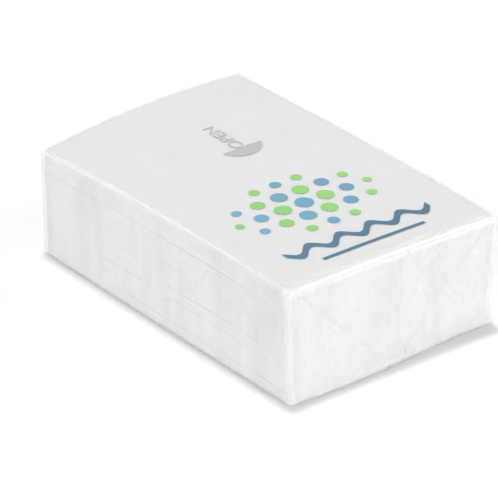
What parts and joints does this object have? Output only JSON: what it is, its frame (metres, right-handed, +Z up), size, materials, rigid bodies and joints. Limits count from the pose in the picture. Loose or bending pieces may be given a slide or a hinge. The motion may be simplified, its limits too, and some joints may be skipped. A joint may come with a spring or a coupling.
{
  "type": "pocket tissue pack",
  "caption": "Closed pocket pack of folded paper tissues in a clear film wrapper with envelope-folded ends and a half-moon opening mark on top.",
  "frame": {"origin": "middle of the base, on the surface that the pack lies on", "axes": "+X along the pack, +Y across it, +Z up through the printed top"},
  "size_m": [0.075, 0.047, 0.024],
  "materials": {
    "film": "clear, glossy, softly crinkled",
    "tissue": "soft white tissue paper",
    "ink_grey": "flat grey ink under gloss",
    "ink_blue": "flat blue ink under gloss",
    "ink_green": "flat green ink under gloss",
    "ink_slate": "flat slate blue ink under gloss"
  },
  "bodies": {
    "root": {"film_wrapper": "film", "tissue_01": "tissue", "tissue_02": "tissue", "tissue_03": "tissue", "tissue_04": "tissue", "tissue_05": "tissue", "tissue_06": "tissue", "tissue_07": "tissue", "tissue_08": "tissue", "tissue_09": "tissue", "tissue_10": "tissue", "opening_mark": "ink_grey", "print_blue": "ink_blue", "print_green": "ink_green", "print_slate": "ink_slate"}
  },
  "joints": []
}
